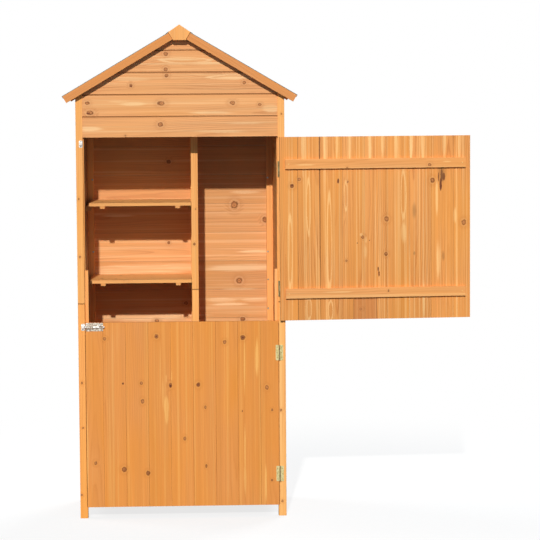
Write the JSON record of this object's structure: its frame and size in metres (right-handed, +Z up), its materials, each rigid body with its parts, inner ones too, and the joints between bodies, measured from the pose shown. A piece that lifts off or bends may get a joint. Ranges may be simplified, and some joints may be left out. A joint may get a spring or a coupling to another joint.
{
  "type": "garden tool cabinet",
  "caption": "Tall wooden garden tool cabinet with a felted apex roof, stacked ledged doors on butt hinges with sliding bolts, a shelf bay and a tall tool bay.",
  "frame": {"origin": "on the ground at the outer front corner of the left front post's foot", "axes": "+X to the right along the front, +Y from the front to the back, +Z up"},
  "size_m": [1.5721, 0.486, 1.9035],
  "materials": {
    "board_wood": "honey-stained softwood matchboard, satin",
    "frame_wood": "honey-stained softwood batten, satin",
    "roof_felt": "mineral-surfaced bitumen felt, matt",
    "zinc_steel": "zinc-plated pressed steel"
  },
  "bodies": {
    "cabinet": {"back_batten_left": "frame_wood", "back_batten_right": "frame_wood", "back_boards": "board_wood", "bargeboard_front_left": "frame_wood", "bargeboard_front_right": "frame_wood", "bargeboard_rear_left": "frame_wood", "bargeboard_rear_right": "frame_wood", "bolt_keepers": "zinc_steel", "divider_boards": "board_wood", "divider_stile_front_lower": "frame_wood", "divider_stile_front_upper": "frame_wood", "divider_stile_rear": "frame_wood", "divider_top_rail": "frame_wood", "finial_front": "frame_wood", "finial_rear": "frame_wood", "floor_bearers": "frame_wood", "floor_boards": "board_wood", "gable_boards_front": "board_wood", "gable_boards_rear": "board_wood", "gable_rafters_front": "frame_wood", "gable_rafters_rear": "frame_wood", "head_rails": "frame_wood", "hinge_pins": "zinc_steel", "hinge_post_leaves": "zinc_steel", "post_front_left_lower": "frame_wood", "post_front_left_upper": "frame_wood", "post_front_right_lower": "frame_wood", "post_front_right_upper": "frame_wood", "post_rear_left_lower": "frame_wood", "post_rear_left_upper": "frame_wood", "post_rear_right_lower": "frame_wood", "post_rear_right_upper": "frame_wood", "post_splice_left": "frame_wood", "post_splice_right": "frame_wood", "roof_boards_left": "board_wood", "roof_boards_right": "board_wood", "roof_felt_left": "roof_felt", "roof_felt_right": "roof_felt", "roof_ridge_strip": "roof_felt", "shelf_bottom_battens": "frame_wood", "shelf_bottom_boards": "board_wood", "shelf_cleats_divider": "frame_wood", "shelf_cleats_wall": "frame_wood", "shelf_middle_battens": "frame_wood", "shelf_middle_boards": "board_wood", "shelf_top_battens": "frame_wood", "shelf_top_boards": "board_wood", "side_boards_left": "board_wood", "side_boards_right": "board_wood"},
    "upper_door": {"upper_door_boards": "board_wood", "upper_door_ledges": "frame_wood", "upper_hinge_door_leaves": "zinc_steel", "upper_bolt_barrel": "zinc_steel"},
    "lower_door": {"lower_door_boards": "board_wood", "lower_door_ledges": "frame_wood", "lower_hinge_door_leaves": "zinc_steel", "lower_bolt_barrel": "zinc_steel"},
    "upper_bolt": {"upper_bolt_rod": "zinc_steel"},
    "lower_bolt": {"lower_bolt_rod": "zinc_steel"}
  },
  "joints": [
    {"name": "upper_door_hinge", "type": "hinge", "parent": "cabinet", "child": "upper_door", "pos_m": [0.7755, -0.003, 1.11825], "axis": [0, 0, 1], "range_deg": [-184.5, 0]},
    {"name": "lower_door_hinge", "type": "hinge", "parent": "cabinet", "child": "lower_door", "pos_m": [0.7755, -0.003, 0.4025], "axis": [0, 0, 1], "range_deg": [0, 180]},
    {"name": "upper_bolt_slide", "type": "slide", "parent": "upper_door", "child": "upper_bolt", "axis": [0.9969, 0.0785, 0], "range_m": [0, 0.012]},
    {"name": "lower_bolt_slide", "type": "slide", "parent": "lower_door", "child": "lower_bolt", "axis": [-1, 0, 0], "range_m": [0, 0.012]}
  ]
}
